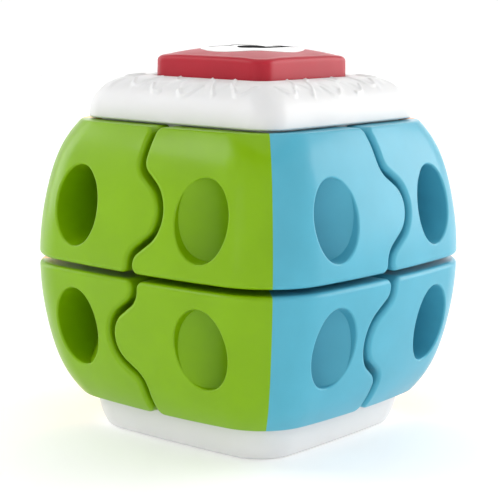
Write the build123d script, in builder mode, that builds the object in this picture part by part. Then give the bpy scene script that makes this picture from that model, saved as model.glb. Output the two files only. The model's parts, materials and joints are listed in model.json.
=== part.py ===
from build123d import *
from math import sqrt
import os

os.makedirs("parts", exist_ok=True)

# ---------------------------------------------------------------------------
# Driving dimensions, in millimetres. +Z is up and the origin is at the centre
# of the base's underside. The front face looks along -Y and the right face
# along +X.
# ---------------------------------------------------------------------------
BASE_TOP = 15.0            # top of the white plinth
BRICK_HALF_HEIGHT = 61.0   # from the middle gap to the top of the upper bricks
MIDDLE = 76.5              # height of the horizontal gap between the two layers
BODY_HALF = 77.7           # half-width of the bulged body at the middle
FLANK_RADIUS = 156.0       # vertical radius of the flanks
FLANK_END = 42.0           # distance from the middle where the shoulder begins
SHOULDER_RADIUS = 52.0     # tighter radius above and below the flanks
BODY_REACH = 1.2035        # corner reach of the body's sections over their half-width
BODY_BULGE = 6.0           # radius of the sections' sides over their half-width
BRICK_GAP = 2.6            # gap between neighbouring bricks
WALL = 2.2                 # wall of every moulded shell
EDGE = 2.0                 # rounding of a brick's outer edges
CELL_CORNER = 3.5          # rounding of a brick's corners, seen from the front

# The wave between two bricks, seen from outside: sideways, and up from the middle.
WAVE_CORNERS = [(-0.5, 72.0), (-0.5, 44.0), (23.5, 27.0), (-1.2, 9.0), (-1.6, -10.0)]
WAVE_RADII = [8.0, 14.0, 8.0]

# Finger scoops
SCOOP_OUT = 35.0           # sideways distance of a scoop's centre
SCOOP_UP = 26.2            # height of a scoop's centre over the middle
SCOOP_WIDE = 13.0          # half of the oval's width
SCOOP_TALL = 17.0          # half of the oval's height
SCOOP_START = 40.0         # distance in front of the axis where the scoop's tool begins
SCOOP_FLOOR = 66.8         # distance of the floor's deepest line from the axis, along the diagonal
SCOOP_CURVE = 34.0         # vertical radius of the concave floor
SCOOP_EDGE = 0.8           # rounding of the scoop's rim

# Core
COLUMN_HALF = 34.0
COLUMN_CORNER = 6.0
COLUMN_CLEARANCE = 0.5
CROWN_HALF = 50.0
CROWN_BOTTOM = 131.5
CROWN_TOP = 138.2
PEG_RADIUS = 6.0
PEG_CLEARANCE = 0.3
PEG_UP = 30.5              # height of the peg over the middle
PEG_END = 59.0             # distance of the peg's tip from the axis
SOCKET_END = 61.0

# Cap and button
CAP_BOTTOM = 138.6
CAP_RISE = 17.9
CAP_HALF = 53.5
CAP_REACH = 1.29
CAP_BULGE = 25.0
BUTTON_HALF = 32.0
BUTTON_TOP_HALF = 31.3
BUTTON_CORNER = 7.5
BUTTON_TOP = 169.8
BUTTON_SKIRT = 147.0
BUTTON_TRAVEL = 2.0
BUTTON_CLEARANCE = 0.4
STEM_RADIUS = 4.0

# Base
BASE_HALF = 54.5
BASE_FOOT_HALF = 50.6
BASE_REACH = 1.245
BASE_BULGE = 14.0
FLOOR = 2.4

DIAGONAL = sqrt(0.5)


def body_half(rise):
    """Half-width of the bulged body at a height over or under the middle."""
    rise = abs(rise)
    if rise <= FLANK_END:
        return BODY_HALF - FLANK_RADIUS + sqrt(FLANK_RADIUS**2 - rise**2)
    shrink = 1 - SHOULDER_RADIUS / FLANK_RADIUS
    centre_up = FLANK_END * shrink
    centre_out = BODY_HALF - FLANK_RADIUS + sqrt(FLANK_RADIUS**2 - FLANK_END**2) * shrink
    return centre_out + sqrt(SHOULDER_RADIUS**2 - (rise - centre_up) ** 2)


def rounded_square(half, height, reach, bulge):
    """Square section with slightly bulged sides and tangent corner arcs.

    reach is the diagonal extent over the half-width, and bulge is the side's
    radius over the half-width.
    """
    top = 2 * bulge - 1 - reach**2 - sqrt(2) * (bulge - 1) * reach
    corner = top / (2 * bulge - 2 * reach - sqrt(2) * (bulge - 1))
    centre = (reach - corner) * DIAGONAL
    length = sqrt((centre + bulge - 1) ** 2 + centre**2)
    touch_out = half * (1 - bulge + bulge * (centre + bulge - 1) / length)
    touch_up = half * bulge * centre / length
    tip = half * reach * DIAGONAL
    with BuildSketch(Plane.XY.offset(height)) as section:
        with BuildLine():
            corners = [Vector(touch_out, touch_up).rotate(Axis.Z, 90 * k) for k in range(4)]
            starts = [Vector(touch_out, -touch_up).rotate(Axis.Z, 90 * k) for k in range(5)]
            sides = [Vector(half, 0).rotate(Axis.Z, 90 * k) for k in range(4)]
            tips = [Vector(tip, tip).rotate(Axis.Z, 90 * k) for k in range(4)]
            for k in range(4):
                ThreePointArc(starts[k], sides[k], corners[k])
                ThreePointArc(corners[k], tips[k], starts[(k + 1) % 4])
        make_face()
    return section.sketch


def sections(levels, reach=BODY_REACH, bulge=BODY_BULGE):
    """Rounded squares to loft through, from (half-width, height) levels."""
    return [rounded_square(half, height, reach, bulge) for half, height in levels]


def body_levels(inset):
    """Levels of the bulged body, drawn in by a wall thickness."""
    rises = [-61.5, -57, -51, -42, -28, -14, 0, 14, 28, 42, 51, 57, 61.5]
    return [(body_half(rise) - inset, MIDDLE + rise) for rise in rises]


def cell(side, inset, corner):
    """Front view of one upper brick's space, drawn in from its borders.

    side is 1 for what lies to the right of the wave and -1 for the left.
    """
    far = side * 120.0
    top = BRICK_HALF_HEIGHT + BRICK_GAP / 2
    with BuildSketch(mode=Mode.PRIVATE) as outline:
        with BuildLine():
            wave = FilletPolyline(*WAVE_CORNERS, radius=WAVE_RADII)
            Polyline(wave @ 1, (far, WAVE_CORNERS[-1][1]), (far, WAVE_CORNERS[0][1]), wave @ 0)
        make_face()
        with Locations((0, top / 2)):
            Rectangle(300, top, mode=Mode.INTERSECT)
        offset(amount=-inset, kind=Kind.INTERSECTION)
        if corner:
            wave_side = outline.vertices().sort_by(lambda vertex: side * vertex.X)
            levels = (inset, top - inset)
            ends = [vertex for vertex in wave_side if min(abs(vertex.Y - level) for level in levels) < 0.01]
            fillet(ends[:2], corner)
    return outline.sketch


def cell_views(inset, corner=0):
    """An upper front right brick's borders, seen from the front and from the right."""
    front = Plane.XZ * Pos(0, MIDDLE) * cell(1, inset, corner)
    right = Plane.YZ * Pos(0, MIDDLE) * cell(-1, inset, corner)
    return front, right


def scoops(grow):
    """The two finger scoops of an upper front right brick, enlarged by grow."""
    with BuildPart(mode=Mode.PRIVATE) as front_scoop:
        with BuildSketch(Plane.XZ.offset(SCOOP_START)):
            with Locations((SCOOP_OUT, MIDDLE + SCOOP_UP)):
                Ellipse(SCOOP_WIDE + grow, SCOOP_TALL + grow)
        extrude(amount=2 * SCOOP_START)
        diagonal = Plane(origin=(0, 0, MIDDLE + SCOOP_UP), x_dir=(1, -1, 0), z_dir=(1, 1, 0))
        with BuildSketch(diagonal):
            with Locations((SCOOP_FLOOR + SCOOP_CURVE, 0)):
                Circle(SCOOP_CURVE + grow)
        extrude(amount=150, both=True, mode=Mode.INTERSECT)
    mirror_plane = Plane(origin=(0, 0, 0), z_dir=(1, 1, 0))
    return front_scoop.part, front_scoop.part.mirror(mirror_plane)


def touches(edge, faces):
    """How many of the faces an edge belongs to."""
    return sum(any(edge.is_same(other) for other in face.edges()) for face in faces)


def front_box(half, bottom, top):
    """Square block about the axis, kept outside the current part."""
    with BuildPart(Plane.XY.offset(bottom), mode=Mode.PRIVATE) as block:
        Box(2 * half, 2 * half, top - bottom, align=(Align.CENTER, Align.CENTER, Align.MIN))
    return block.part


def diagonal_rod(radius, start, end, up):
    """Round rod along the front right diagonal, between two distances from the axis."""
    rod_plane = Plane(origin=(start * DIAGONAL, -start * DIAGONAL, up), z_dir=(1, -1, 0))
    with BuildPart(rod_plane, mode=Mode.PRIVATE) as rod:
        Cylinder(radius, end - start, align=(Align.CENTER, Align.CENTER, Align.MIN))
    return rod.part


# ---------------------------------------------------------------------------
# One brick, upper front right: two coloured shells and the cover at their back.
# Every brick is this one, turned about the axis or flipped over.
# ---------------------------------------------------------------------------
BACK_FACE = COLUMN_HALF + COLUMN_CLEARANCE
COVER_FACE = BACK_FACE + WALL
NOTCH_HALF = CROWN_HALF + COLUMN_CLEARANCE
NOTCH_BOTTOM = CROWN_BOTTOM - COLUMN_CLEARANCE
PEG_HEIGHT = MIDDLE + PEG_UP
TALL = 300.0

with BuildPart() as block:
    loft(sections(body_levels(0)))
    for view in cell_views(BRICK_GAP / 2, CELL_CORNER):
        extrude(view, amount=TALL / 2, both=True, mode=Mode.INTERSECT)
    skin = block.faces().filter_by(GeomType.BSPLINE)
    fillet([edge for edge in block.edges() if touches(edge, skin) == 1], EDGE)
    add(front_box(BACK_FACE, 0, TALL), mode=Mode.SUBTRACT)
    add(front_box(NOTCH_HALF, NOTCH_BOTTOM, TALL), mode=Mode.SUBTRACT)

with BuildPart() as hollow:
    loft(sections(body_levels(WALL)))
    for view in cell_views(BRICK_GAP / 2 + WALL):
        extrude(view, amount=TALL / 2, both=True, mode=Mode.INTERSECT)
    for scoop in scoops(WALL):
        add(scoop, mode=Mode.SUBTRACT)
    add(front_box(NOTCH_HALF + WALL, NOTCH_BOTTOM - WALL, TALL), mode=Mode.SUBTRACT)

with BuildPart() as shells:
    add(block)
    for scoop in scoops(0):
        add(scoop, mode=Mode.SUBTRACT)
        skin = shells.faces().filter_by(GeomType.BSPLINE).filter_by(lambda face: face.area > 500)
        fillet([edge for edge in shells.edges(Select.NEW) if touches(edge, skin) == 1], SCOOP_EDGE)
    add(front_box(COVER_FACE, 0, TALL), mode=Mode.SUBTRACT)
    add(hollow, mode=Mode.SUBTRACT)

with BuildPart() as cover:
    add(block)
    add(front_box(COVER_FACE, 0, TALL), mode=Mode.INTERSECT)
    add(diagonal_rod(PEG_RADIUS + PEG_CLEARANCE + WALL, BACK_FACE / DIAGONAL, SOCKET_END + WALL, PEG_HEIGHT))
    add(diagonal_rod(PEG_RADIUS + PEG_CLEARANCE, 0, SOCKET_END, PEG_HEIGHT), mode=Mode.SUBTRACT)
    add(front_box(BACK_FACE, 0, TALL), mode=Mode.SUBTRACT)

with BuildPart() as front_shell:
    add(shells)
    split(bisect_by=Plane(origin=(0, 0, 0), z_dir=(-1, -1, 0)), keep=Keep.TOP)

with BuildPart() as right_shell:
    add(shells)
    split(bisect_by=Plane(origin=(0, 0, 0), z_dir=(1, 1, 0)), keep=Keep.TOP)

CORNERS = ["front_right", "back_right", "back_left", "front_left"]
FACE_COLOURS = ["green", "blue", "orange", "yellow"]


def write_piece(solid, name):
    """Label a finished piece and write its file."""
    solid.label = name
    export_step(solid, f"parts/{name}.step")


for quarter, corner in enumerate(CORNERS):
    turn = Rotation(0, 0, 90 * quarter)
    flip_axis = Axis((0, 0, MIDDLE), (1, -1, 0))
    first_colour = FACE_COLOURS[quarter]
    next_colour = FACE_COLOURS[(quarter + 1) % 4]
    write_piece(turn * front_shell.part, f"upper_{corner}_{first_colour}_shell")
    write_piece(turn * right_shell.part, f"upper_{corner}_{next_colour}_shell")
    write_piece(turn * cover.part, f"upper_{corner}_cover")
    write_piece(turn * right_shell.part.rotate(flip_axis, 180), f"lower_{corner}_{first_colour}_shell")
    write_piece(turn * front_shell.part.rotate(flip_axis, 180), f"lower_{corner}_{next_colour}_shell")
    write_piece(turn * cover.part.rotate(flip_axis, 180), f"lower_{corner}_cover")

# ---------------------------------------------------------------------------
# Core column: square tube with the crown under the cap and a peg for each brick.
# ---------------------------------------------------------------------------
COLUMN_WALL = 2.6
DECK = 3.0                 # plate on top of the crown
STEM_HOLE = 5.0
SCREW_RADIUS = 1.4
HEAD_RADIUS = 2.7
POST_RADIUS = 4.0
COLUMN_POSTS = 25.0        # screw posts at the foot of the column
BOARD_POSTS = 22.0         # posts under the circuit board
CAP_POSTS = 39.0           # posts under the cap
BOARD_BOTTOM = 122.0
POST_FOOT = 100.0
FOOT_POST_TOP = 32.0


def square_of(reach):
    """Locations at the corners of a square, a distance out from the axis each way."""
    return GridLocations(2 * reach, 2 * reach, 2, 2)


with BuildPart() as core_column:
    with BuildSketch(Plane.XY.offset(BASE_TOP)):
        RectangleRounded(2 * COLUMN_HALF, 2 * COLUMN_HALF, COLUMN_CORNER)
    extrude(amount=CROWN_TOP - BASE_TOP)
    with BuildSketch(Plane.XY.offset(CROWN_BOTTOM)):
        RectangleRounded(2 * CROWN_HALF, 2 * CROWN_HALF, 2 * COLUMN_CORNER)
    extrude(amount=CROWN_TOP - CROWN_BOTTOM)
    for quarter in range(4):
        for up in (PEG_HEIGHT, 2 * MIDDLE - PEG_HEIGHT):
            peg = diagonal_rod(PEG_RADIUS, COLUMN_HALF, PEG_END, up)
            add(Rotation(0, 0, 90 * quarter) * peg)
    with BuildSketch(Plane.XY.offset(BASE_TOP)):
        inner = 2 * (COLUMN_HALF - COLUMN_WALL)
        RectangleRounded(inner, inner, COLUMN_CORNER - COLUMN_WALL)
    extrude(amount=CROWN_TOP - DECK - BASE_TOP, mode=Mode.SUBTRACT)
    with BuildSketch(Plane.XY.offset(BASE_TOP)):
        with square_of(COLUMN_POSTS + 1.5):
            RectangleRounded(2 * POST_RADIUS + 4, 2 * POST_RADIUS + 4, 2)
    extrude(amount=FOOT_POST_TOP - BASE_TOP)
    with BuildSketch(Plane.XY.offset(POST_FOOT)):
        with square_of(BOARD_POSTS + 4.5):
            RectangleRounded(2 * POST_RADIUS + 6, 2 * POST_RADIUS + 6, 2)
    extrude(amount=BOARD_BOTTOM - POST_FOOT)
    with BuildSketch(Plane.XY.offset(BASE_TOP)):
        with square_of(COLUMN_POSTS):
            Circle(SCREW_RADIUS)
    extrude(amount=12, mode=Mode.SUBTRACT)
    with BuildSketch(Plane.XY.offset(BOARD_BOTTOM - 8)):
        with square_of(BOARD_POSTS):
            Circle(SCREW_RADIUS)
    extrude(amount=8, mode=Mode.SUBTRACT)
    with BuildSketch(Plane.XY.offset(CROWN_BOTTOM)):
        with square_of(CAP_POSTS):
            Circle(SCREW_RADIUS)
        Circle(STEM_HOLE)
    extrude(amount=CROWN_TOP - CROWN_BOTTOM, mode=Mode.SUBTRACT)
    with BuildSketch(Plane.XY.offset(CROWN_BOTTOM)):
        with square_of(CAP_POSTS):
            Circle(HEAD_RADIUS + 0.3)
    extrude(amount=3, mode=Mode.SUBTRACT)
write_piece(core_column.part, "core_column")

# ---------------------------------------------------------------------------
# Cap: hollow dome round the button, on the crown.
# ---------------------------------------------------------------------------
CAP_TOP = CAP_BOTTOM + CAP_RISE


def cap_levels(inset):
    """Levels of the dome: an upright quarter oval from the rim to the button."""
    shares = [0.0, 0.2, 0.4, 0.58, 0.74, 0.87, 0.96, 0.995]
    width = CAP_HALF - BUTTON_HALF
    return [
        (BUTTON_HALF + width * sqrt(1 - share**2) - inset, CAP_BOTTOM + CAP_RISE * share - inset)
        for share in shares
    ]


with BuildPart() as dome:
    loft(sections(cap_levels(0), CAP_REACH, CAP_BULGE))

with BuildPart() as dome_hollow:
    loft(sections(cap_levels(WALL), CAP_REACH, CAP_BULGE))

with BuildPart() as top_cap:
    add(dome)
    fillet(top_cap.edges().group_by(Axis.Z)[0], 1.0)
    add(dome_hollow, mode=Mode.SUBTRACT)
    with BuildSketch(Plane.XY.offset(CAP_BOTTOM)):
        opening = 2 * (BUTTON_HALF + BUTTON_CLEARANCE)
        RectangleRounded(opening, opening, BUTTON_CORNER + BUTTON_CLEARANCE)
    extrude(amount=TALL, mode=Mode.SUBTRACT)
    with BuildPart(Plane.XY.offset(CROWN_TOP), mode=Mode.PRIVATE) as posts:
        with square_of(CAP_POSTS):
            Cylinder(POST_RADIUS, 14, align=(Align.CENTER, Align.CENTER, Align.MIN))
        with square_of(CAP_POSTS):
            Cylinder(SCREW_RADIUS, 9, align=(Align.CENTER, Align.CENTER, Align.MIN), mode=Mode.SUBTRACT)
    add(posts)
write_piece(top_cap.part, "top_cap")

# ---------------------------------------------------------------------------
# Push button with its printed label, and the spring under it
# ---------------------------------------------------------------------------
FLANGE = 2.0
FLANGE_BOTTOM = 150.0
BUTTON_EDGE = 2.2
LABEL_RADIUS = 20.0
LABEL_THICK = 0.2
SWITCH_TOP = 130.0
STEM_END = SWITCH_TOP + BUTTON_TRAVEL + 0.3
SPRING_RADIUS = 8.5
SPRING_WIRE = 0.6
SPRING_TURNS = 7
CEILING = BUTTON_TOP - WALL

with BuildPart() as push_button:
    with BuildSketch(Plane.XY.offset(FLANGE_BOTTOM)):
        RectangleRounded(2 * BUTTON_HALF, 2 * BUTTON_HALF, BUTTON_CORNER)
    with BuildSketch(Plane.XY.offset(BUTTON_TOP)):
        RectangleRounded(2 * BUTTON_TOP_HALF, 2 * BUTTON_TOP_HALF, BUTTON_CORNER)
    loft()
    fillet(push_button.edges().group_by(Axis.Z)[-1], BUTTON_EDGE)
    with BuildSketch(Plane.XY.offset(FLANGE_BOTTOM)):
        RectangleRounded(2 * BUTTON_HALF + 4, 2 * BUTTON_HALF + 4, BUTTON_CORNER + 2)
    extrude(amount=FLANGE)
    with BuildSketch(Plane.XY.offset(FLANGE_BOTTOM)):
        inner = 2 * (BUTTON_TOP_HALF - WALL)
        RectangleRounded(inner, inner, BUTTON_CORNER - WALL)
    extrude(amount=CEILING - FLANGE_BOTTOM, mode=Mode.SUBTRACT)
    with BuildSketch(Plane.XY.offset(STEM_END)):
        Circle(STEM_RADIUS)
    extrude(amount=CEILING - STEM_END + 0.5)
write_piece(push_button.part, "push_button")

with BuildPart() as button_label:
    with BuildSketch(Plane.XY.offset(BUTTON_TOP)):
        Circle(LABEL_RADIUS)
    extrude(amount=LABEL_THICK)
write_piece(button_label.part, "button_label")

with BuildPart() as button_spring:
    seat = CROWN_TOP + SPRING_WIRE
    rise = CEILING - CROWN_TOP - 2 * SPRING_WIRE
    with BuildLine():
        coil = Helix(rise / SPRING_TURNS, rise, SPRING_RADIUS, center=(0, 0, seat))
    with BuildSketch(Plane(origin=coil @ 0, z_dir=coil % 0)):
        Circle(SPRING_WIRE)
    sweep()
write_piece(button_spring.part, "button_spring")

# ---------------------------------------------------------------------------
# Electronics: board, sound chip, switch, loudspeaker and leads
# ---------------------------------------------------------------------------
BOARD = 56.0
BOARD_THICK = 1.6
BOARD_TOP = BOARD_BOTTOM + BOARD_THICK
SPEAKER_RADIUS = 17.0
SPEAKER_OUT = 20.0         # distance of the loudspeaker in front of the axis
SPEAKER_BOTTOM = 3.2
SPEAKER_TOP = 11.0
LEAD_RADIUS = 0.7
CHIP_BACK = -2.0

with BuildPart() as circuit_board:
    with BuildSketch(Plane.XY.offset(BOARD_BOTTOM)):
        RectangleRounded(BOARD, BOARD, 3)
        with square_of(BOARD_POSTS):
            Circle(SCREW_RADIUS, mode=Mode.SUBTRACT)
    extrude(amount=BOARD_THICK)
write_piece(circuit_board.part, "circuit_board")

with BuildPart() as board_screws:
    with BuildSketch(Plane.XY.offset(BOARD_BOTTOM - 7)):
        with square_of(BOARD_POSTS):
            Circle(SCREW_RADIUS)
    extrude(amount=7 + BOARD_THICK)
    with BuildSketch(Plane.XY.offset(BOARD_TOP)):
        with square_of(BOARD_POSTS):
            Circle(HEAD_RADIUS)
    extrude(amount=1.8)
write_piece(board_screws.part, "board_screws")

with BuildPart() as tact_switch:
    with BuildSketch(Plane.XY.offset(BOARD_TOP)):
        Rectangle(12, 12)
    extrude(amount=SWITCH_TOP - BOARD_TOP - 2.5)
    with BuildSketch(Plane.XY.offset(SWITCH_TOP - 2.5)):
        Circle(3.4)
    extrude(amount=2.5)
write_piece(tact_switch.part, "tact_switch")

with BuildPart() as sound_chip:
    with BuildSketch(Plane.XY.offset(BOARD_BOTTOM - 2)):
        with Locations((0, CHIP_BACK)):
            Rectangle(14, 10)
    extrude(amount=2)
    with BuildSketch(Plane.XY.offset(BOARD_BOTTOM - 0.6)):
        for out in (CHIP_BACK - 6, CHIP_BACK + 6):
            with Locations((0, out)):
                with GridLocations(2.5, 1, 5, 1):
                    Rectangle(0.8, 2.4)
    extrude(amount=0.6)
write_piece(sound_chip.part, "sound_chip")

with BuildPart() as speaker:
    with BuildSketch(Plane.XY.offset(SPEAKER_BOTTOM)):
        with Locations((0, -SPEAKER_OUT)):
            Circle(SPEAKER_RADIUS)
    extrude(amount=2.6)
    with BuildSketch(Plane.XY.offset(SPEAKER_BOTTOM + 2.6)):
        with Locations((0, -SPEAKER_OUT)):
            Circle(SPEAKER_RADIUS - 1)
    with BuildSketch(Plane.XY.offset(SPEAKER_TOP - 3)):
        with Locations((0, -SPEAKER_OUT)):
            Circle(8.5)
    loft()
    with BuildSketch(Plane.XY.offset(SPEAKER_TOP - 3)):
        with Locations((0, -SPEAKER_OUT)):
            Circle(8.5)
    extrude(amount=3)
write_piece(speaker.part, "speaker")

# ---------------------------------------------------------------------------
# Battery box with three upright cells, their contacts and the leads to the board
# ---------------------------------------------------------------------------
CELL_RADIUS = 5.2
CELL_PITCH = 11.2
CELL_BOTTOM = 5.4
CELL_LENGTH = 43.5
CELL_CAP = 1.0
BOX_BACK = 14.0            # distance of the battery box behind the axis
BOX_WALL = 1.4
BOX_WIDE = 3 * CELL_PITCH + 2 * BOX_WALL
BOX_DEEP = CELL_PITCH + 2 * BOX_WALL
BOX_BOTTOM = 3.2
BOX_TOP = CELL_BOTTOM + CELL_LENGTH + CELL_CAP + 2.4

with BuildPart() as battery_box:
    with BuildSketch(Plane.XY.offset(BOX_BOTTOM)):
        with Locations((0, BOX_BACK)):
            Rectangle(BOX_WIDE, BOX_DEEP)
    extrude(amount=BOX_TOP - BOX_BOTTOM)
    with BuildSketch(Plane.XY.offset(BOX_BOTTOM)):
        with Locations((0, BOX_BACK)):
            Rectangle(BOX_WIDE - 2 * BOX_WALL, BOX_DEEP - 2 * BOX_WALL)
    extrude(amount=BOX_TOP - BOX_BOTTOM - BOX_WALL, mode=Mode.SUBTRACT)
write_piece(battery_box.part, "battery_box")

with BuildPart() as batteries:
    with BuildSketch(Plane.XY.offset(CELL_BOTTOM)):
        with Locations((0, BOX_BACK)):
            with GridLocations(CELL_PITCH, 1, 3, 1):
                Circle(CELL_RADIUS)
    extrude(amount=CELL_LENGTH)
    with BuildSketch(Plane.XY.offset(CELL_BOTTOM + CELL_LENGTH)):
        with Locations((0, BOX_BACK)):
            with GridLocations(CELL_PITCH, 1, 3, 1):
                Circle(1.9)
    extrude(amount=CELL_CAP)
write_piece(batteries.part, "batteries")

with BuildPart() as battery_contacts:
    with BuildSketch(Plane.XY.offset(CELL_BOTTOM + CELL_LENGTH + CELL_CAP)):
        with Locations((0, BOX_BACK)):
            with GridLocations(CELL_PITCH, 1, 3, 1):
                Rectangle(8, 8)
    extrude(amount=0.5)
    with BuildSketch(Plane.XY.offset(CELL_BOTTOM - 0.6)):
        with Locations((0, BOX_BACK)):
            with GridLocations(CELL_PITCH, 1, 3, 1):
                Rectangle(8, 8)
    extrude(amount=0.6)
write_piece(battery_contacts.part, "battery_contacts")


def lead_pair(name, apart, back, bottom, top):
    """Two straight insulated leads running up the inside of the column."""
    with BuildPart() as leads:
        with BuildSketch(Plane.XY.offset(bottom)):
            with Locations((0, back)):
                with GridLocations(apart, 1, 2, 1):
                    Circle(LEAD_RADIUS)
        extrude(amount=top - bottom)
    write_piece(leads.part, name)


lead_pair("battery_leads", 4.0, BOX_BACK, BOX_TOP, BOARD_BOTTOM)
lead_pair("speaker_leads", 5.0, -SPEAKER_OUT, SPEAKER_TOP, BOARD_BOTTOM)

# ---------------------------------------------------------------------------
# Base: plinth with its deck, bottom plate, battery door, power switch and screws
# ---------------------------------------------------------------------------
PLATE_HALF = 46.0
PLATE_BOTTOM = 1.0
PLATE_TOP = 3.0
DOOR_WIDE = 44.0
DOOR_DEEP = 20.0
DOOR_FIT = 0.25
SWITCH_WIDE = 9.0
SWITCH_DEEP = 5.0
SWITCH_TRAVEL = 5.0
SWITCH_X = -34.0
SWITCH_Y = -30.0
GRILLE_PITCH = 4.0
GRILLE_HOLE = 1.0
FOOT_EDGE = 2.5

with BuildPart() as base_plinth:
    base_levels = [(BASE_FOOT_HALF, 0), (BASE_FOOT_HALF + 2.3, 5), (BASE_HALF - 0.4, 10), (BASE_HALF, BASE_TOP)]
    loft(sections(base_levels, BASE_REACH, BASE_BULGE))
    fillet(base_plinth.edges().group_by(Axis.Z)[0], FOOT_EDGE)
    fillet(base_plinth.edges().group_by(Axis.Z)[-1], 1.0)
    with BuildSketch(Plane.XY):
        RectangleRounded(2 * PLATE_HALF + 0.5, 2 * PLATE_HALF + 0.5, 10)
    extrude(amount=PLATE_TOP, mode=Mode.SUBTRACT)
    with BuildSketch(Plane.XY.offset(PLATE_TOP)):
        RectangleRounded(2 * PLATE_HALF - 3, 2 * PLATE_HALF - 3, 10)
    extrude(amount=BASE_TOP - FLOOR - PLATE_TOP, mode=Mode.SUBTRACT)
    with BuildSketch(Plane.XY.offset(BASE_TOP - FLOOR)):
        with Locations((0, BOX_BACK)):
            Rectangle(BOX_WIDE + 0.6, BOX_DEEP + 0.6)
        with Locations((0, -SPEAKER_OUT)):
            Rectangle(8, 6)
        with square_of(COLUMN_POSTS):
            Circle(SCREW_RADIUS)
    extrude(amount=FLOOR, mode=Mode.SUBTRACT)
write_piece(base_plinth.part, "base_plinth")

with BuildPart() as column_screws:
    with BuildSketch(Plane.XY.offset(BASE_TOP - FLOOR)):
        with square_of(COLUMN_POSTS):
            Circle(SCREW_RADIUS)
    extrude(amount=FLOOR + 10)
    with BuildSketch(Plane.XY.offset(BASE_TOP - FLOOR - 1.8)):
        with square_of(COLUMN_POSTS):
            Circle(HEAD_RADIUS)
    extrude(amount=1.8)
write_piece(column_screws.part, "column_screws")

with BuildPart() as cap_screws:
    with BuildSketch(Plane.XY.offset(CROWN_BOTTOM + 3)):
        with square_of(CAP_POSTS):
            Circle(SCREW_RADIUS)
    extrude(amount=10)
    with BuildSketch(Plane.XY.offset(CROWN_BOTTOM + 1)):
        with square_of(CAP_POSTS):
            Circle(HEAD_RADIUS)
    extrude(amount=2)
write_piece(cap_screws.part, "cap_screws")

with BuildPart() as bottom_plate:
    with BuildSketch(Plane.XY.offset(PLATE_BOTTOM)):
        RectangleRounded(2 * PLATE_HALF, 2 * PLATE_HALF, 10)
        with Locations((0, BOX_BACK)):
            Rectangle(DOOR_WIDE, DOOR_DEEP, mode=Mode.SUBTRACT)
        with Locations((0, -SPEAKER_OUT)):
            with HexLocations(GRILLE_PITCH / 2, 5, 6):
                Circle(GRILLE_HOLE, mode=Mode.SUBTRACT)
        with Locations((SWITCH_X, SWITCH_Y)):
            Rectangle(SWITCH_DEEP + 0.6, SWITCH_WIDE + 0.6, mode=Mode.SUBTRACT)
    extrude(amount=PLATE_TOP - PLATE_BOTTOM)
write_piece(bottom_plate.part, "bottom_plate")

with BuildPart() as battery_door:
    with BuildSketch(Plane.XY.offset(PLATE_BOTTOM)):
        with Locations((0, BOX_BACK)):
            Rectangle(DOOR_WIDE - 2 * DOOR_FIT, DOOR_DEEP - 2 * DOOR_FIT)
            with Locations((0, DOOR_DEEP / 2 - 2.4)):
                Circle(1.2, mode=Mode.SUBTRACT)
    extrude(amount=PLATE_TOP - PLATE_BOTTOM)
write_piece(battery_door.part, "battery_door")

with BuildPart() as door_screw:
    with BuildSketch(Plane.XY.offset(PLATE_BOTTOM - 0.6)):
        with Locations((0, BOX_BACK + DOOR_DEEP / 2 - 2.4)):
            Circle(2.2)
    extrude(amount=0.6)
    with BuildSketch(Plane.XY.offset(PLATE_BOTTOM)):
        with Locations((0, BOX_BACK + DOOR_DEEP / 2 - 2.4)):
            Circle(1.2)
    extrude(amount=PLATE_TOP - PLATE_BOTTOM)
write_piece(door_screw.part, "door_screw")

with BuildPart() as power_switch:
    with BuildSketch(Plane.XY.offset(PLATE_BOTTOM - 0.4)):
        with Locations((SWITCH_X, SWITCH_Y - SWITCH_TRAVEL / 2 + 0.3)):
            Rectangle(SWITCH_DEEP, SWITCH_WIDE - SWITCH_TRAVEL)
    extrude(amount=PLATE_TOP - PLATE_BOTTOM + 0.7)
    with BuildSketch(Plane.XY.offset(PLATE_TOP + 0.3)):
        with Locations((SWITCH_X, SWITCH_Y - SWITCH_TRAVEL / 2 + 0.3)):
            Rectangle(SWITCH_DEEP + 4, SWITCH_WIDE - SWITCH_TRAVEL + 4)
    extrude(amount=1.2)
write_piece(power_switch.part, "power_switch")
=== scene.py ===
import json
import math

import bpy
import numpy as np
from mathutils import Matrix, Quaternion, Vector


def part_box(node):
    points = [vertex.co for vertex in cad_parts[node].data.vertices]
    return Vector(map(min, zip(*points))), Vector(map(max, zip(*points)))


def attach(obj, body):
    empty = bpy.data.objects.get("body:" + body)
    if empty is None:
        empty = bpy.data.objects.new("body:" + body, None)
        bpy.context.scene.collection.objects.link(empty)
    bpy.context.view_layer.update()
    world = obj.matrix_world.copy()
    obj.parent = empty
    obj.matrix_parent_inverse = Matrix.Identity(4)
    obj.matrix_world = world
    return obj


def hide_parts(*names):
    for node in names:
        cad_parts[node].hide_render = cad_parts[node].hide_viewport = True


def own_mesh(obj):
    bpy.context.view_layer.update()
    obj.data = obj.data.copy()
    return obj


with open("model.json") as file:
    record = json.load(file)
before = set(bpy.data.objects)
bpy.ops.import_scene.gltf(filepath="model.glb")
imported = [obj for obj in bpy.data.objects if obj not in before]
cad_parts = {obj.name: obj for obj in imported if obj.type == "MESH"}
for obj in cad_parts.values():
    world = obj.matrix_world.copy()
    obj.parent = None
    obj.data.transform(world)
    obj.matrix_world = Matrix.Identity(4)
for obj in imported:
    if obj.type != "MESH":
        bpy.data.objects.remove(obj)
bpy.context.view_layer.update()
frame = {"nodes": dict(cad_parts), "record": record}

MM = 0.001

# ---------------------------------------------------------------------------
# Camera
# ---------------------------------------------------------------------------
AIM = Vector((0.0, 0.0, 0.0784))
EYE = Vector((0.4428, -0.5388, 0.1947))
ROLL = math.radians(0.6)
LENS = 113.4  # millimetres
SENSOR = 36.0

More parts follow.
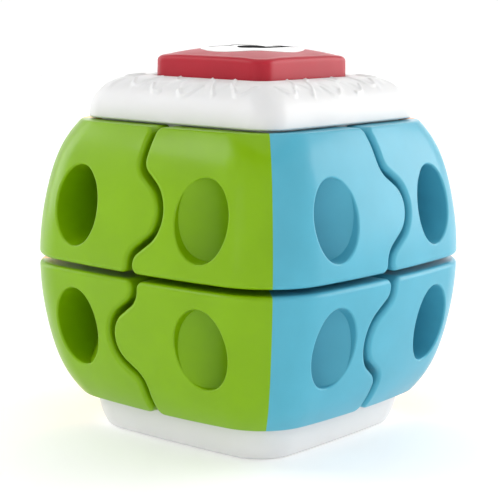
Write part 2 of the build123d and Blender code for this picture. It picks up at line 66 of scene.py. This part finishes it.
camera_data = bpy.data.cameras.new("camera")
camera_data.lens = LENS
camera_data.sensor_width = SENSOR
camera = bpy.data.objects.new("camera", camera_data)
bpy.context.collection.objects.link(camera)
camera.location = EYE
camera.rotation_mode = "QUATERNION"
camera.rotation_quaternion = (AIM - EYE).to_track_quat("-Z", "Y") @ Quaternion((0, 0, 1), ROLL)
bpy.context.scene.camera = camera


# ---------------------------------------------------------------------------
# Materials
# ---------------------------------------------------------------------------
def srgb(red, green, blue):
    """Linear colour from sRGB values of 0 to 255."""
    def linear(value):
        value /= 255.0
        return value / 12.92 if value <= 0.04045 else ((value + 0.055) / 1.055) ** 2.4
    return (linear(red), linear(green), linear(blue), 1.0)


def shaded(colour, factor):
    """The colour made lighter or darker."""
    return tuple(min(1.0, part * factor) for part in colour[:3]) + (1.0,)


CLOUD_SCALE = 38.0
WEAR_SCALE = 95.0
GRAIN_SCALE = 2600.0
WAVE_SCALE = 60.0
GRAIN_SHARE = 0.06
BUMP_DEPTH = 0.3 * MM


def plastic(name, colour, roughness=0.32, grain=1.0, mottle=0.05,
            metallic=0.0, coat=0.0, milky=0.0, shine=0.3):
    """Moulded material: cloudy tone, uneven gloss and a fine spark-eroded grain."""
    material = bpy.data.materials.new(name)
    material.use_nodes = True
    nodes = material.node_tree.nodes
    links = material.node_tree.links
    shader = nodes["Principled BSDF"]
    shader.inputs["Metallic"].default_value = metallic
    shader.inputs["IOR"].default_value = 1.5
    shader.inputs["Specular IOR Level"].default_value = shine
    shader.inputs["Coat Weight"].default_value = coat
    shader.inputs["Coat Roughness"].default_value = 0.12
    shader.inputs["Subsurface Weight"].default_value = milky
    shader.inputs["Subsurface Radius"].default_value = (0.004, 0.003, 0.002)
    shader.inputs["Subsurface Scale"].default_value = 0.5
    place = nodes.new("ShaderNodeTexCoord")

    def noise(scale, detail, rough=0.5):
        texture = nodes.new("ShaderNodeTexNoise")
        texture.inputs["Scale"].default_value = scale
        texture.inputs["Detail"].default_value = detail
        texture.inputs["Roughness"].default_value = rough
        links.new(place.outputs["Object"], texture.inputs["Vector"])
        return texture

    cloud = noise(CLOUD_SCALE, 4.0)
    tone = nodes.new("ShaderNodeValToRGB")
    tone.color_ramp.elements[0].position = 0.3
    tone.color_ramp.elements[1].position = 0.7
    tone.color_ramp.elements[0].color = shaded(colour, 1.0 - mottle)
    tone.color_ramp.elements[1].color = shaded(colour, 1.0 + mottle)
    links.new(cloud.outputs["Fac"], tone.inputs["Fac"])
    links.new(tone.outputs["Color"], shader.inputs["Base Color"])

    wear = noise(WEAR_SCALE, 5.0, 0.6)
    gloss = nodes.new("ShaderNodeMapRange")
    gloss.inputs["To Min"].default_value = roughness * 0.85
    gloss.inputs["To Max"].default_value = roughness * 1.18
    links.new(wear.outputs["Fac"], gloss.inputs["Value"])
    links.new(gloss.outputs["Result"], shader.inputs["Roughness"])

    fine = noise(GRAIN_SCALE, 2.0)
    wave = noise(WAVE_SCALE, 2.0)
    blend = nodes.new("ShaderNodeMath")
    blend.operation = "MULTIPLY_ADD"
    blend.inputs[1].default_value = GRAIN_SHARE
    links.new(fine.outputs["Fac"], blend.inputs[0])
    links.new(wave.outputs["Fac"], blend.inputs[2])
    bump = nodes.new("ShaderNodeBump")
    bump.inputs["Strength"].default_value = 0.12 * grain
    bump.inputs["Distance"].default_value = BUMP_DEPTH
    links.new(blend.outputs[0], bump.inputs["Height"])
    links.new(bump.outputs["Normal"], shader.inputs["Normal"])
    return material


BRICK_FINISH = {"roughness": 0.30, "coat": 0.1, "milky": 0.02, "shine": 0.2}
MATERIALS = {
    "green_plastic": plastic("green_abs", srgb(126, 172, 1), **BRICK_FINISH),
    "blue_plastic": plastic("blue_abs", srgb(84, 172, 196), **BRICK_FINISH),
    "orange_plastic": plastic("orange_abs", srgb(244, 140, 32), **BRICK_FINISH),
    "yellow_plastic": plastic("yellow_abs", srgb(250, 206, 36), **BRICK_FINISH),
    "white_plastic": plastic("white_abs", srgb(226, 226, 226), 0.42, mottle=0.015, milky=0.05),
    "red_plastic": plastic("red_abs", srgb(176, 26, 44), 0.38, grain=1.5, mottle=0.06),
    "grey_plastic": plastic("grey_abs", srgb(188, 190, 194), 0.45, grain=1.4),
    "label_print": plastic("label_white", srgb(240, 240, 236), 0.26, grain=0.4, mottle=0.02, coat=0.5),
    "screw_steel": plastic("zinc_steel", srgb(176, 178, 182), 0.34, metallic=1.0, mottle=0.08),
    "contact_steel": plastic("nickel_steel", srgb(196, 194, 188), 0.25, metallic=1.0, mottle=0.05),
    "cell_jacket": plastic("cell_sleeve", srgb(40, 92, 70), 0.30, coat=0.4),
    "lead_jacket": plastic("lead_pvc", srgb(170, 30, 30), 0.45),
    "speaker_black": plastic("speaker_paper", srgb(40, 40, 42), 0.70, grain=3.0),
    "board_green": plastic("board_mask", srgb(18, 96, 52), 0.35, coat=0.3),
    "chip_black": plastic("chip_epoxy", srgb(34, 34, 36), 0.60, grain=2.0),
}
ink = plastic("ink_black", srgb(10, 10, 12), 0.75, grain=0.4, mottle=0.1, shine=0.03)

SLOTS = {part["node"]: part["material_slot"] for part in frame["record"]["subparts"]}
for node_name, node in frame["nodes"].items():
    node.data.materials.clear()
    node.data.materials.append(MATERIALS[SLOTS[node_name]])


# ---------------------------------------------------------------------------
# Mesh helpers
# ---------------------------------------------------------------------------
def mesh_piece(name, points, faces, material, body, smooth=True):
    """A piece that rides on a body."""
    mesh = bpy.data.meshes.new(name)
    mesh.from_pydata([tuple(point) for point in points], [], faces)
    mesh.polygons.foreach_set("use_smooth", [smooth] * len(mesh.polygons))
    mesh.materials.append(material)
    mesh.update()
    piece = bpy.data.objects.new(name, mesh)
    bpy.context.collection.objects.link(piece)
    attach(piece, body)
    return piece


def ring_faces(rows, columns, looped=True):
    """Quads between closed rings of points; looped joins the last ring to the first."""
    faces = []
    for row in range(rows if looped else rows - 1):
        below = ((row + 1) % rows) * columns
        for column in range(columns):
            beside = (column + 1) % columns
            faces.append((row * columns + column, row * columns + beside, below + beside, below + column))
    return faces


# ---------------------------------------------------------------------------
# Cap: the dome with its low relief of dripping strokes
# ---------------------------------------------------------------------------
cap_low, cap_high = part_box("top_cap")
button_low, button_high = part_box("push_button")
CAP_COLUMNS = 720
CAP_ROWS = 84
CAP_EDGE_ROWS = 6
CAP_WALL = 2.2 * MM
CAP_EDGE = 1.0 * MM
CAP_REACH = 1.305
CAP_BULGE = 25.0
CAP_FULLNESS = 2.5
CAP_OVERHANG = 1.2 * MM
OPENING_REACH = 1.33
FLANGE = 2.0 * MM  # the button's hidden flange, each side
CLEARANCE = 0.4 * MM  # between the button and the cap
cap_half = cap_high[0] + CAP_OVERHANG
opening_half = button_high[0] - FLANGE + CLEARANCE
cap_rise = cap_high[2] - cap_low[2]


def rounded_square(half, reach, bulge, columns):
    """Points round a square with bulged sides and tangent corner arcs, at even angles.

    reach is the corner's distance from the middle and bulge the radius of the sides, both in half-widths.
    """
    top = 2 * bulge - 1 - reach**2 - math.sqrt(2) * (bulge - 1) * reach
    corner = top / (2 * bulge - 2 * reach - math.sqrt(2) * (bulge - 1))
    centre = (reach - corner) / math.sqrt(2)
    angles = (np.arange(columns) + 0.5) / columns * 2 * math.pi
    quarter = np.round(angles / (math.pi / 2)) * (math.pi / 2)
    turn = angles - quarter
    out, across = np.cos(turn), np.sin(turn)
    back = bulge - 1
    side = -back * out + np.sqrt((back * out) ** 2 - back**2 + bulge**2)
    side_turn = math.atan2(centre, centre + back)
    reach_side = np.abs(across * side) <= bulge * math.sin(side_turn)
    along = centre * (out + np.abs(across))
    arc = along + np.sqrt(np.maximum(along**2 - 2 * centre**2 + corner**2, 0))
    radius = half * np.where(reach_side, side, arc)
    return radius[:, None] * np.stack([np.cos(angles), np.sin(angles)], 1)


# Strokes of the relief on one side: sideways, and out from the axis, in millimetres.
STROKES = [
    [(-41, 36), (-37, 39), (-33, 38), (-31, 35)],
    [(-30, 40), (-27, 44), (-22, 44), (-19, 40), (-18, 37)],
    [(-16, 43), (-13, 46), (-9, 46)],
    [(-9, 36), (-7, 40), (-3, 41), (-1, 38)],
    [(1, 45), (4, 47), (9, 46), (11, 43)],
    [(8, 35), (11, 38), (15, 39), (17, 43), (21, 46)],
    [(20, 35), (23, 37), (25, 41), (29, 43)],
    [(30, 44), (33, 46), (37, 44), (38, 41)],
    [(36, 34), (39, 37), (43, 38)],
]
STROKE_WIDTH = 0.6
STROKE_START = 34.0
STROKE_SPREAD = 1.35  # strokes are stretched down the dome from STROKE_START
STROKE_HEIGHT = 0.75
ICING_HEIGHT = 0.4
ICING_BORDER = 43.0
ICING_SOFTNESS = 0.45
ICING_SPAN = 48.0
ICING_FADE = 6.0


def distance_to_path(points, path):
    """Distance of each point from a bent line."""
    nearest = np.full(len(points), 1e9)
    for start, end in zip(path[:-1], path[1:]):
        start, end = np.array(start, float), np.array(end, float)
        run = end - start
        share = np.clip((points - start) @ run / (run @ run), 0, 1)
        nearest = np.minimum(nearest, np.linalg.norm(points - start - share[:, None] * run, axis=1))
    return nearest


def smooth_path(path):
    """Rounds a bent line by two rounds of corner cutting."""
    for _ in range(2):
        cut = [path[0]]
        for start, end in zip(path[:-1], path[1:]):
            cut.append((0.75 * start[0] + 0.25 * end[0], 0.75 * start[1] + 0.25 * end[1]))
            cut.append((0.25 * start[0] + 0.75 * end[0], 0.25 * start[1] + 0.75 * end[1]))
        path = cut + [path[-1]]
    return path


def relief(flat):
    """Height of the relief, in millimetres, over points of the dome seen from above."""
    height = np.zeros(len(flat))
    for quarter in range(4):
        angle = -quarter * math.pi / 2
        turned = flat @ np.array([[math.cos(angle), math.sin(angle)], [-math.sin(angle), math.cos(angle)]])
        local = np.stack([turned[:, 0], -turned[:, 1]], 1)
        on_side = local[:, 1] >= np.abs(local[:, 0]) - 1e-6
        sideways = -local[:, 0] if quarter % 2 else local[:, 0]
        spots = np.stack([sideways, STROKE_START + (local[:, 1] - STROKE_START) / STROKE_SPREAD], 1)
        slow_wave = 1.6 * np.sin(spots[:, 0] * 0.42 + quarter)
        quick_wave = 1.1 * np.sin(spots[:, 0] * 0.93 + 2.0 * quarter)
        border = ICING_BORDER + slow_wave + quick_wave
        fade = 1 / (1 + np.exp((spots[:, 1] - border) / ICING_SOFTNESS))
        side_height = ICING_HEIGHT * fade * np.clip((ICING_SPAN - np.abs(spots[:, 0])) / ICING_FADE, 0, 1)
        for stroke in STROKES:
            gap = distance_to_path(spots, smooth_path(stroke))
            ridge = STROKE_HEIGHT * np.exp(-((gap / STROKE_WIDTH) ** 2))
            side_height = np.maximum(side_height, ridge + 0.5 * side_height)
        height = np.where(on_side, side_height, height)
    return height


def cap_rings():
    """Rings over the dome from the opening to the rim, and back along the inside."""
    width = cap_half - opening_half
    outer = []
    for share in np.sin(np.linspace(math.pi / 2, 0, CAP_ROWS)):
        spread = max(0.0, 1 - share**CAP_FULLNESS) ** (1 / CAP_FULLNESS)
        outer.append((opening_half + width * spread, cap_low[2] + cap_rise * share))
    rings = [(opening_half, cap_high[2] - CAP_WALL)]
    rings += [(half, height) for half, height in outer if height > cap_low[2] + CAP_EDGE]
    rings += [(cap_half - CAP_EDGE * (1 - math.cos(turn)), cap_low[2] + CAP_EDGE * (1 - math.sin(turn)))
              for turn in np.linspace(0, math.pi / 2, CAP_EDGE_ROWS)]
    inner = [(half - CAP_WALL, height - CAP_WALL) for half, height in outer[::-6]]
    inner = [(half, max(height, cap_low[2])) for half, height in inner if half > opening_half + 0.5 * MM]
    return rings + inner


def cap_surface(rings):
    """The cap's points, ring by ring, with the relief raised along the surface's normals."""
    points = []
    for half, height in rings:
        share = min(1.0, (half - opening_half) / (cap_half - opening_half))
        reach = OPENING_REACH + (CAP_REACH - OPENING_REACH) * share
        flat = rounded_square(half, reach, CAP_BULGE, CAP_COLUMNS)
        points.append(np.column_stack([flat, np.full(len(flat), height)]))
    points = np.array(points)
    around = np.roll(points, -1, 1) - np.roll(points, 1, 1)
    down = np.gradient(points, axis=0)
    normals = np.cross(down, around)
    normals /= np.linalg.norm(normals, axis=2, keepdims=True)
    dome = slice(2, CAP_ROWS - 4)
    flat = points[dome, :, :2].reshape(-1, 2) / MM
    lift = relief(flat).reshape(-1, CAP_COLUMNS) * MM
    taper = np.clip((np.arange(lift.shape[0]) + 1) / 6, 0, 1)[:, None]
    points[dome] += normals[dome] * (lift * taper)[:, :, None]
    return points.reshape(-1, 3)


rings = cap_rings()
cap = mesh_piece("cap_dome", cap_surface(rings), ring_faces(len(rings), CAP_COLUMNS),
                 MATERIALS["white_plastic"], "core")
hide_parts("top_cap")


# ---------------------------------------------------------------------------
# Button: crowned top, white label and a plain note printed in black
# ---------------------------------------------------------------------------
BUTTON_REACH = 1.317
BUTTON_BULGE = 60.0
BUTTON_COLUMNS = 240
BUTTON_EDGE = 2.5 * MM
BUTTON_DRAFT = 0.5 * MM
BUTTON_WALL = 1.4 * MM
BUTTON_HALF = opening_half - CLEARANCE
BUTTON_FOOT = button_low[2]
CROWN_HALF = BUTTON_HALF - BUTTON_DRAFT - BUTTON_EDGE
CROWN_RISE = 3.8 * MM
CROWN_POWER = 5.0
LABEL_RADIUS = 23.0 * MM
LABEL_COLUMNS = 120
LABEL_THICK = 0.12 * MM
INK_THICK = 0.06 * MM
MIDDLE_SHARE = 0.05  # size of the innermost ring, beside the outermost
label_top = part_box("button_label")[1][2]
crown_top = label_top - LABEL_THICK - 2 * INK_THICK


def crown(flat):
    """Height of the button's pillow-shaped top over points seen from above, level round its rim."""
    across, along = flat[:, 0] / CROWN_HALF, flat[:, 1] / CROWN_HALF
    share = (np.abs(across) ** CROWN_POWER + np.abs(along) ** CROWN_POWER) ** (2 / CROWN_POWER)
    return crown_top - CROWN_RISE * share


def capped_rings(name, rings, material):
    """A closed piece on the button from rings that run from the middle of the top to the middle below it."""
    columns = len(rings[0])
    points = np.concatenate(rings)
    faces = ring_faces(len(rings), columns, looped=False)
    top, bottom = len(points), len(points) + 1
    points = np.concatenate([points, [rings[0].mean(0)], [rings[-1].mean(0)]])
    last = (len(rings) - 1) * columns
    faces += [(top, (k + 1) % columns, k) for k in range(columns)]
    faces += [(bottom, last + k, last + (k + 1) % columns) for k in range(columns)]
    return mesh_piece(name, points, faces, material, "button")


def button_outline(half):
    """The button's outline seen from above, at a half-width."""
    return rounded_square(half, BUTTON_REACH, BUTTON_BULGE, BUTTON_COLUMNS)


def button_rings():
    """Rings over the crown, round its edge, down the side, and up the inside to the ceiling."""
    rings = []
    for share in np.linspace(MIDDLE_SHARE, 1, 20):
        flat = button_outline(CROWN_HALF * share)
        rings.append(np.column_stack([flat, crown(flat)]))
    rim = rings[-1]
    for turn in np.linspace(0, math.pi / 2, 9)[1:]:
        flat = button_outline(CROWN_HALF + BUTTON_EDGE * math.sin(turn))
        rings.append(np.column_stack([flat, rim[:, 2] - BUTTON_EDGE * (1 - math.cos(turn))]))
    shoulder = rings[-1]
    foot = button_outline(BUTTON_HALF)
    ground = np.column_stack([foot, np.full(len(foot), BUTTON_FOOT)])
    rings += [shoulder + (ground - shoulder) * share for share in (0.05, 0.5, 0.95, 1.0)]
    inside = button_outline(BUTTON_HALF - BUTTON_WALL)
    rings.append(np.column_stack([inside, np.full(len(inside), BUTTON_FOOT)]))
    for share in np.linspace(1, MIDDLE_SHARE, 12):
        flat = button_outline((CROWN_HALF - BUTTON_WALL) * share)
        rings.append(np.column_stack([flat, crown(flat) - BUTTON_WALL]))
    return rings


dome = capped_rings("button_dome", button_rings(), MATERIALS["red_plastic"])
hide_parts("push_button")

turns = np.arange(LABEL_COLUMNS) / LABEL_COLUMNS * 2 * math.pi
circle = np.stack([np.cos(turns), np.sin(turns)], 1)
label_rings = [np.column_stack([circle * radius, crown(circle * radius) + LABEL_THICK])
               for radius in np.linspace(MIDDLE_SHARE, 1, 16) * LABEL_RADIUS]
label_rings.append(np.column_stack([circle * LABEL_RADIUS, crown(circle * LABEL_RADIUS) - LABEL_THICK]))
label = capped_rings("label_disc", label_rings, MATERIALS["label_print"])
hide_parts("button_label")


# The real spring shortens as the button goes down, from its foot on the crown of the column; here it is a
# plain copy of its mesh, riding on the core.
spring = bpy.data.objects.new("spring_coil", frame["nodes"]["button_spring"].data.copy())
bpy.context.collection.objects.link(spring)
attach(spring, "core")
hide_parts("button_spring")
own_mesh(spring)


END_TURN = 0.12  # an oval's ends are cut off this far round, in radians


def ink_stroke(name, start, end, half_width, round_ends=False, steps=28):
    """A printed bar, or an oval with round_ends, laid over the crown; in millimetres."""
    start, end = np.array(start) * MM, np.array(end) * MM
    ahead = (end - start) / np.linalg.norm(end - start)
    across = np.array([-ahead[1], ahead[0]]) * half_width * MM
    sections = []
    for turn in np.linspace(END_TURN, math.pi - END_TURN, steps):
        share = (1 - math.cos(turn)) / 2
        width = across * (math.sin(turn) if round_ends else 1.0)
        middle = start + (end - start) * share
        flat = np.array([middle + width, middle - width, middle - width, middle + width])
        lift = np.array([LABEL_THICK + 2 * INK_THICK] * 2 + [LABEL_THICK - INK_THICK] * 2)
        sections.append(np.column_stack([flat, crown(flat) + lift]))
    points = np.concatenate(sections)
    faces = ring_faces(steps, 4, looped=False)
    faces += [(0, 1, 2, 3), tuple(4 * (steps - 1) + k for k in (3, 2, 1, 0))]
    return mesh_piece(name, points, faces, ink, "button", smooth=False)


ink_stroke("note_head_left", (-17.0, -9.5), (-4.5, -5.0), 4.9, round_ends=True)
ink_stroke("note_head_right", (0.5, -10.5), (13.0, -6.0), 4.9, round_ends=True)
ink_stroke("note_stem_left", (-5.6, -6.0), (-5.6, 13.0), 1.4)
ink_stroke("note_stem_right", (11.9, -7.0), (11.9, 14.0), 1.4)
ink_stroke("note_beam", (-7.0, 11.5), (13.3, 13.0), 3.2)


# ---------------------------------------------------------------------------
# Floor and light
# ---------------------------------------------------------------------------
FLOOR_RADIUS = 1.2
BEND_RADIUS = 0.8
WALL_TOP = 2.6
PAPER_GLOW = 0.19


def stage_sweep():
    """A pale floor that curves up into a backdrop on every side."""
    count = 96
    profile = [(0.0, 0.0), (FLOOR_RADIUS, 0.0)]
    profile += [(FLOOR_RADIUS + BEND_RADIUS * math.sin(turn), BEND_RADIUS - BEND_RADIUS * math.cos(turn))
                for turn in np.linspace(0.1, math.pi / 2, 12)]
    profile += [(FLOOR_RADIUS + BEND_RADIUS, WALL_TOP)]
    points = [(0.0, 0.0, 0.0)]
    for radius, height in profile[1:]:
        angles = [2 * math.pi * k / count for k in range(count)]
        points += [(radius * math.cos(angle), radius * math.sin(angle), height) for angle in angles]
    faces = [(0, 1 + k, 1 + (k + 1) % count) for k in range(count)]
    for row in range(len(profile) - 2):
        for k in range(count):
            low, beside = 1 + row * count + k, 1 + row * count + (k + 1) % count
            faces.append((low, low + count, beside + count, beside))
    mesh = bpy.data.meshes.new("sweep")
    mesh.from_pydata(points, [], faces)
    mesh.polygons.foreach_set("use_smooth", [True] * len(mesh.polygons))
    floor_material = plastic("sweep_paper", srgb(248, 248, 248), 0.9, grain=0.2, mottle=0.004)
    paper = floor_material.node_tree.nodes["Principled BSDF"]
    paper.inputs["Emission Color"].default_value = (1.0, 1.0, 1.0, 1.0)
    paper.inputs["Emission Strength"].default_value = PAPER_GLOW
    mesh.materials.append(floor_material)
    sweep = bpy.data.objects.new("sweep", mesh)
    bpy.context.collection.objects.link(sweep)
    return sweep


stage_sweep()


def soft_box(name, place, aim, width, height, power):
    """A rectangular soft light."""
    data = bpy.data.lights.new(name, "AREA")
    data.shape = "RECTANGLE"
    data.size = width
    data.size_y = height
    data.energy = power
    light = bpy.data.objects.new(name, data)
    bpy.context.collection.objects.link(light)
    light.location = place
    light.rotation_mode = "QUATERNION"
    light.rotation_quaternion = (Vector(aim) - Vector(place)).to_track_quat("-Z", "Y")


# Name, place, what it faces, width and height, and power in watts.
SOFT_BOXES = [
    ("top_box", (0.0, 0.0, 1.5), (0, 0, 0), 1.3, 1.3, 6.2),
    ("corner_strip", (0.03, -1.2, 0.35), (0, 0, 0.08), 0.14, 0.7, 0.45),
    ("upper_left_box", (-0.7, -0.75, 1.0), (0, 0, 0.08), 0.5, 0.45, 2.8),
    ("left_box", (-1.25, -0.25, 0.5), (0, 0, 0.08), 0.5, 0.9, 2.9),
    ("right_box", (0.75, 1.15, 0.55), (0, 0, 0.08), 0.95, 1.0, 11.5),
    ("back_box", (-0.75, 1.1, 0.5), (0, 0, 0.1), 1.1, 1.0, 2.4),
]
for soft_box_values in SOFT_BOXES:
    soft_box(*soft_box_values)

WORLD_STRENGTH = 0.04
world = bpy.data.worlds.new("studio")
world.use_nodes = True
world.node_tree.nodes["Background"].inputs["Color"].default_value = (1.0, 1.0, 1.0, 1.0)
world.node_tree.nodes["Background"].inputs["Strength"].default_value = WORLD_STRENGTH
bpy.context.scene.world = world
bpy.context.scene.view_settings.view_transform = "Standard"
